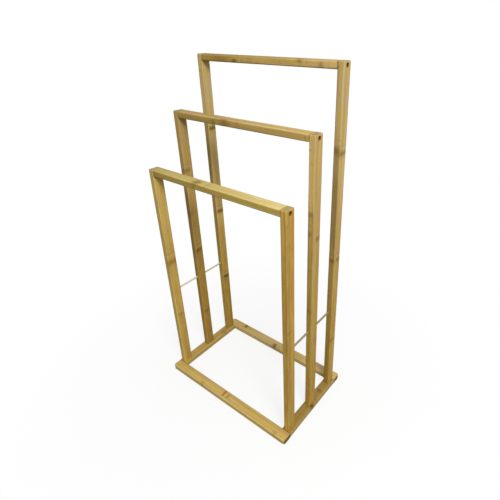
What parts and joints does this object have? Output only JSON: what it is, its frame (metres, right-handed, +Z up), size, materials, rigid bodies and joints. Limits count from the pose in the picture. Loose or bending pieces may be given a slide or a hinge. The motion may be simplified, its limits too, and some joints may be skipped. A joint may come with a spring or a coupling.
{
  "type": "freestanding towel stand",
  "caption": "Open wooden stand with stepped upturned-U frames rising from a flat rectangular base, tied by thin rods, for hanging towels over its crossbars.",
  "frame": {"origin": "middle of the base's underside, on the floor", "axes": "+X to the stand's right, +Y from the lowest frame to the tallest frame, +Z up"},
  "size_m": [0.4, 0.25, 0.825],
  "materials": {
    "bamboo": "clear satin lacquer over golden-tan laminated bamboo",
    "pale_rod": "plain sanded, pale cream",
    "screw_steel": "dark bronzed zinc"
  },
  "bodies": {
    "root": {"base_front_rail": "bamboo", "base_rear_rail": "bamboo", "base_left_rail": "bamboo", "base_right_rail": "bamboo", "front_left_upright": "bamboo", "front_right_upright": "bamboo", "middle_left_upright": "bamboo", "middle_right_upright": "bamboo", "rear_left_upright": "bamboo", "rear_right_upright": "bamboo", "front_bar": "bamboo", "middle_bar": "bamboo", "rear_bar": "bamboo", "left_spacer_rod": "pale_rod", "right_spacer_rod": "pale_rod", "front_bar_screws": "screw_steel", "front_foot_screws": "screw_steel", "middle_bar_screws": "screw_steel", "middle_foot_screws": "screw_steel", "rear_bar_screws": "screw_steel", "rear_foot_screws": "screw_steel"}
  },
  "joints": []
}
